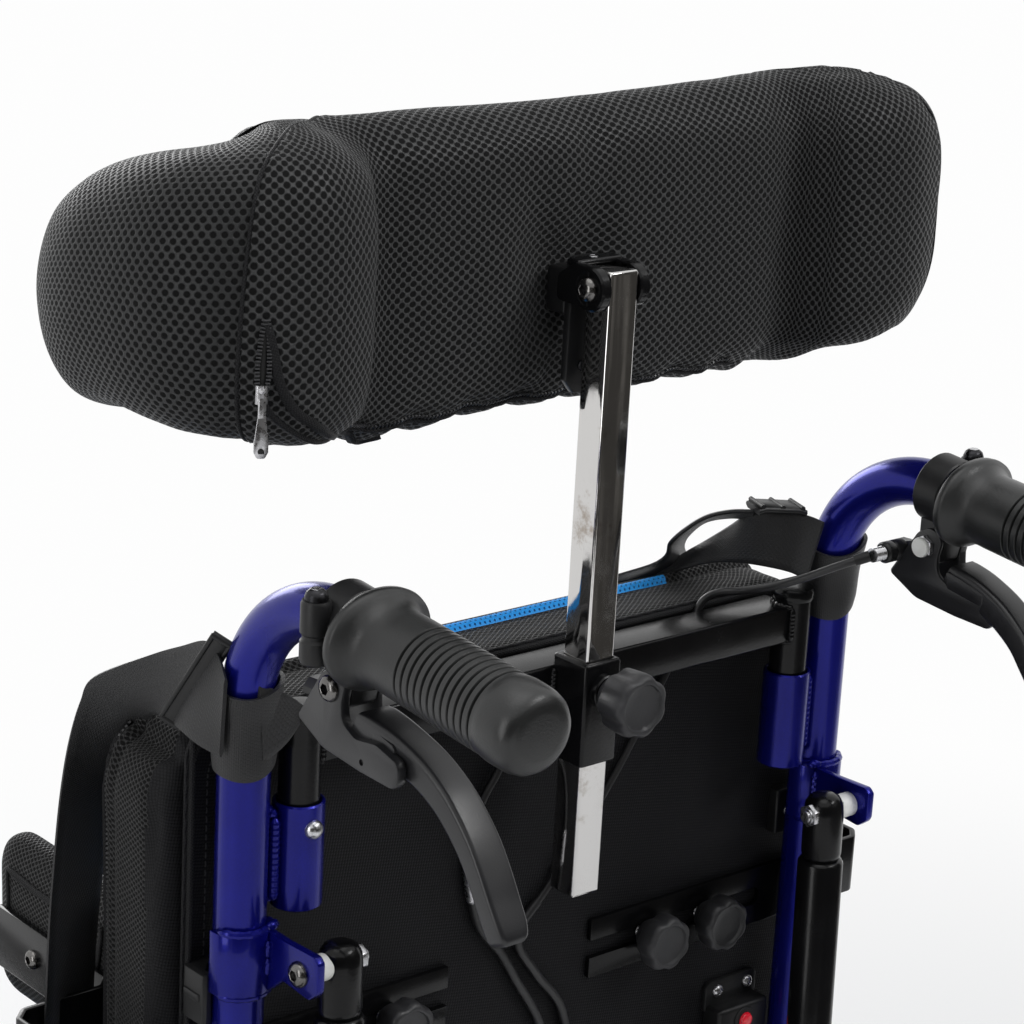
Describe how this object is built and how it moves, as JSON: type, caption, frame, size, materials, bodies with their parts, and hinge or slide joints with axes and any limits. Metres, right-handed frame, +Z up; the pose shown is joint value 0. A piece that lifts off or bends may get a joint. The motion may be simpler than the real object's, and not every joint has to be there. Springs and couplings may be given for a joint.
{
  "type": "pediatric reclining wheelchair",
  "caption": "Small attendant wheelchair with a reclining back, strut supports, winged headrest on a height-adjustable post, lateral trunk pads, swing-away footrests and lift-off armrests.",
  "frame": {"origin": "floor level, centre of the overall footprint", "axes": "+Z up, the user faces -Y, +X is the user's left"},
  "size_m": [0.5802, 1.056, 1.0892],
  "materials": {
    "blue_paint": "glossy pearl blue powder coat",
    "black_paint": "gloss black powder coat",
    "black_plastic": "satin moulded",
    "grip_rubber": "matte ribbed",
    "chrome": "polished",
    "tyre": "matte",
    "mag_plastic": "satin moulded",
    "aluminium": "satin anodised",
    "mesh_black": "spacer mesh",
    "canvas_black": "taut woven nylon",
    "mesh_blue": "spacer mesh",
    "webbing": "woven webbing",
    "vinyl_black": "grained upholstery",
    "red_plastic": "gloss"
  },
  "bodies": {
    "frame": {"side_frame_left": "blue_paint", "side_frame_right": "blue_paint", "cross_brace_left": "black_paint", "cross_brace_right": "black_paint", "seat_sling": "canvas_black", "seat_cushion": "mesh_blue"},
    "back": {"back_post_left": "blue_paint", "back_post_right": "blue_paint", "back_panel": "canvas_black", "back_cushion": "mesh_black", "hand_grip_left": "grip_rubber", "hand_grip_right": "grip_rubber", "lever_clamp_left": "black_paint", "lever_clamp_right": "black_paint", "release_cable_left": "black_plastic", "release_cable_right": "black_plastic", "harness_strap_left": "webbing", "harness_strap_right": "webbing", "headrest_crossbar": "black_paint", "button_box": "black_plastic"},
    "headrest_stem": {"headrest_post": "chrome"},
    "headrest": {"headrest_knuckle": "black_plastic", "headrest_pad": "mesh_black"},
    "stem_knob": {"headrest_post_knob": "black_plastic"},
    "red_button": {"push_button": "red_plastic"},
    "rear_wheel_left": {"tyre_left": "tyre", "wheel_left": "mag_plastic", "handrim_left": "aluminium"},
    "caster_swivel_left": {"caster_fork_left": "black_paint"},
    "caster_roller_left": {"caster_wheel_left": "tyre"},
    "wheel_lock_lever_left": {"wheel_lock_left": "black_paint"},
    "footrest_left": {"footrest_hanger_left": "blue_paint"},
    "footplate_flap_left": {"footplate_left": "black_plastic"},
    "arm_left": {"armrest_left": "black_paint", "arm_pad_left": "vinyl_black"},
    "release_lever_left": {"release_lever_left": "black_paint"},
    "strut_cylinder_left": {"strut_cylinder_left": "black_paint"},
    "strut_rod_left": {"strut_rod_left": "chrome"},
    "lateral_left": {"lateral_arm_left": "black_paint", "lateral_pad_left": "mesh_black"},
    "lateral_knob_inner_left": {"lateral_knob_inner_left": "black_plastic"},
    "lateral_knob_outer_left": {"lateral_knob_outer_left": "black_plastic"},
    "rear_wheel_right": {"tyre_right": "tyre", "wheel_right": "mag_plastic", "handrim_right": "aluminium"},
    "caster_swivel_right": {"caster_fork_right": "black_paint"},
    "caster_roller_right": {"caster_wheel_right": "tyre"},
    "wheel_lock_lever_right": {"wheel_lock_right": "black_paint"},
    "footrest_right": {"footrest_hanger_right": "blue_paint"},
    "footplate_flap_right": {"footplate_right": "black_plastic"},
    "arm_right": {"armrest_right": "black_paint", "arm_pad_right": "vinyl_black"},
    "release_lever_right": {"release_lever_right": "black_paint"},
    "strut_cylinder_right": {"strut_cylinder_right": "black_paint"},
    "strut_rod_right": {"strut_rod_right": "chrome"},
    "lateral_right": {"lateral_arm_right": "black_paint", "lateral_pad_right": "mesh_black"},
    "lateral_knob_inner_right": {"lateral_knob_inner_right": "black_plastic"},
    "lateral_knob_outer_right": {"lateral_knob_outer_right": "black_plastic"}
  },
  "joints": [
    {"name": "back_recline", "type": "hinge", "parent": "frame", "child": "back", "pos_m": [0, 0.199, 0.44], "axis": [-1, 0, 0], "range_deg": [0, 45]},
    {"name": "headrest_height", "type": "slide", "parent": "back", "child": "headrest_stem", "axis": [0, 0.0802, 0.9968], "range_m": [-0.04, 0.05]},
    {"name": "headrest_tilt", "type": "hinge", "parent": "headrest_stem", "child": "headrest", "pos_m": [0, 0.26389, 1.00963], "axis": [1, 0, 0], "range_deg": [-25, 6]},
    {"name": "stem_knob_turn", "type": "hinge", "parent": "back", "child": "stem_knob", "pos_m": [0, 0.26457, 0.831], "axis": [0, 0.9968, -0.0802], "range_deg": [0, 360]},
    {"name": "button_press", "type": "slide", "parent": "back", "child": "red_button", "axis": [0, -0.9968, 0.0802], "range_m": [0, 0.0025], "stiffness_N_per_m": 400, "springref_m": -0.001},
    {"name": "rear_wheel_spin_left", "type": "hinge", "parent": "frame", "child": "rear_wheel_left", "pos_m": [0.245, 0.274, 0.254], "axis": [1, 0, 0], "continuous": true},
    {"name": "caster_swivel_left", "type": "hinge", "parent": "frame", "child": "caster_swivel_left", "pos_m": [0.197, -0.131, 0.171], "axis": [0, 0, 1], "continuous": true},
    {"name": "caster_roll_left", "type": "hinge", "parent": "caster_swivel_left", "child": "caster_roller_left", "pos_m": [0.197, -0.086, 0.075], "axis": [1, 0, 0], "continuous": true},
    {"name": "wheel_lock_left", "type": "hinge", "parent": "frame", "child": "wheel_lock_lever_left", "pos_m": [0.217, 0.0212, 0.3669], "axis": [-1, 0, 0], "range_deg": [0, 21]},
    {"name": "footrest_swing_left", "type": "hinge", "parent": "frame", "child": "footrest_left", "pos_m": [0.197, -0.213, 0.34], "axis": [0, 0, 1], "range_deg": [0, 85]},
    {"name": "footplate_flip_left", "type": "hinge", "parent": "footrest_left", "child": "footplate_flap_left", "pos_m": [0.197, -0.421, 0.14], "axis": [0, 1, 0], "range_deg": [0, 90]},
    {"name": "armrest_lift_left", "type": "slide", "parent": "frame", "child": "arm_left", "axis": [0, 0, 1], "range_m": [0, 0.06]},
    {"name": "release_lever_squeeze_left", "type": "hinge", "parent": "back", "child": "release_lever_left", "pos_m": [0.177, 0.30247, 0.87811], "axis": [1, 0, 0], "range_deg": [0, 15], "stiffness_Nm_per_rad": 0.6, "springref_deg": -20.05},
    {"name": "strut_swing_left", "type": "hinge", "parent": "back", "child": "strut_cylinder_left", "pos_m": [0.143, 0.25805, 0.74254], "axis": [1, 0, 0], "range_deg": [-1, 5]},
    {"name": "strut_stroke_left", "type": "slide", "parent": "strut_cylinder_left", "child": "strut_rod_left", "axis": [0, -0.0555, -0.9985], "range_m": [-0.041, 0.001]},
    {"name": "lateral_width_left", "type": "slide", "parent": "back", "child": "lateral_left", "axis": [-1, 0, 0], "range_m": [0, 0.018]},
    {"name": "lateral_knob_turn_inner_left", "type": "hinge", "parent": "back", "child": "lateral_knob_inner_left", "pos_m": [0.078, 0.20595, 0.68222], "axis": [0, 0.9968, -0.0802], "range_deg": [0, 360]},
    {"name": "lateral_knob_turn_outer_left", "type": "hinge", "parent": "back", "child": "lateral_knob_outer_left", "pos_m": [0.116, 0.20595, 0.68222], "axis": [0, 0.9968, -0.0802], "range_deg": [0, 360]},
    {"name": "rear_wheel_spin_right", "type": "hinge", "parent": "frame", "child": "rear_wheel_right", "pos_m": [-0.245, 0.274, 0.254], "axis": [1, 0, 0], "continuous": true},
    {"name": "caster_swivel_right", "type": "hinge", "parent": "frame", "child": "caster_swivel_right", "pos_m": [-0.197, -0.131, 0.171], "axis": [0, 0, 1], "continuous": true},
    {"name": "caster_roll_right", "type": "hinge", "parent": "caster_swivel_right", "child": "caster_roller_right", "pos_m": [-0.197, -0.086, 0.075], "axis": [1, 0, 0], "continuous": true},
    {"name": "wheel_lock_right", "type": "hinge", "parent": "frame", "child": "wheel_lock_lever_right", "pos_m": [-0.217, 0.0212, 0.3669], "axis": [-1, 0, 0], "range_deg": [0, 21]},
    {"name": "footrest_swing_right", "type": "hinge", "parent": "frame", "child": "footrest_right", "pos_m": [-0.197, -0.213, 0.34], "axis": [0, 0, -1], "range_deg": [0, 85]},
    {"name": "footplate_flip_right", "type": "hinge", "parent": "footrest_right", "child": "footplate_flap_right", "pos_m": [-0.197, -0.421, 0.14], "axis": [0, -1, 0], "range_deg": [0, 90]},
    {"name": "armrest_lift_right", "type": "slide", "parent": "frame", "child": "arm_right", "axis": [0, 0, 1], "range_m": [0, 0.06]},
    {"name": "release_lever_squeeze_right", "type": "hinge", "parent": "back", "child": "release_lever_right", "pos_m": [-0.177, 0.30247, 0.87811], "axis": [1, 0, 0], "range_deg": [0, 15], "stiffness_Nm_per_rad": 0.6, "springref_deg": -20.05},
    {"name": "strut_swing_right", "type": "hinge", "parent": "back", "child": "strut_cylinder_right", "pos_m": [-0.143, 0.25805, 0.74254], "axis": [1, 0, 0], "range_deg": [-1, 5]},
    {"name": "strut_stroke_right", "type": "slide", "parent": "strut_cylinder_right", "child": "strut_rod_right", "axis": [0, -0.0555, -0.9985], "range_m": [-0.041, 0.001]},
    {"name": "lateral_width_right", "type": "slide", "parent": "back", "child": "lateral_right", "axis": [1, 0, 0], "range_m": [0, 0.018]},
    {"name": "lateral_knob_turn_inner_right", "type": "hinge", "parent": "back", "child": "lateral_knob_inner_right", "pos_m": [-0.078, 0.20595, 0.68222], "axis": [0, 0.9968, -0.0802], "range_deg": [0, 360]},
    {"name": "lateral_knob_turn_outer_right", "type": "hinge", "parent": "back", "child": "lateral_knob_outer_right", "pos_m": [-0.116, 0.20595, 0.68222], "axis": [0, 0.9968, -0.0802], "range_deg": [0, 360]}
  ],
  "couplings": [
    {"joint": "strut_swing_left", "follows": "back_recline", "ratio": 0.07},
    {"joint": "strut_stroke_left", "follows": "back_recline", "m_per_rad": -0.0503},
    {"joint": "strut_swing_right", "follows": "back_recline", "ratio": 0.07},
    {"joint": "strut_stroke_right", "follows": "back_recline", "m_per_rad": -0.0503}
  ]
}
